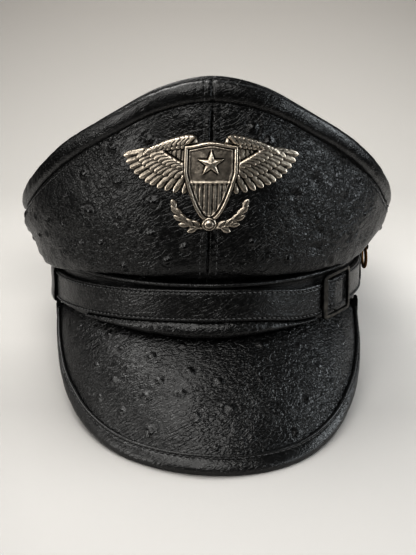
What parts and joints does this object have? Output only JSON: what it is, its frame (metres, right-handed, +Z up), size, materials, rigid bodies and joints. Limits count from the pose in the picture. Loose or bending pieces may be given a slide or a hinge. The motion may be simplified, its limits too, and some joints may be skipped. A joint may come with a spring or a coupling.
{
  "type": "captain cap",
  "caption": "Soft black leather captain cap with a tall front crown, padded rim roll, buckled chin strap, bound peak and a cast winged badge, standing on its peak and rear band.",
  "frame": {"origin": "on the floor under the middle of the cap's bounding box", "axes": "+Z up, -Y towards the peak, +X towards the wearer's left"},
  "size_m": [0.2068, 0.2778, 0.1777],
  "materials": {
    "ostrich_leather": "black, raised quill bumps, semi-gloss",
    "smooth_leather": "black, fine grain, soft sheen",
    "band_leather": "black, matt grain",
    "black_metal": "black, gloss",
    "old_brass": "worn, satin",
    "aged_pewter": "cast, aged, rubbed bright on the high spots"
  },
  "bodies": {
    "root": {"crown_panel_left": "ostrich_leather", "crown_panel_right": "ostrich_leather", "crown_roll": "smooth_leather", "crown_top": "ostrich_leather", "head_band": "band_leather", "band_welt": "smooth_leather", "peak": "ostrich_leather", "peak_binding": "smooth_leather", "strap": "smooth_leather", "strap_loop_left": "smooth_leather", "strap_loop_right": "smooth_leather", "buckle": "black_metal", "badge": "aged_pewter", "side_ring": "old_brass", "ring_tab": "smooth_leather"}
  },
  "joints": []
}
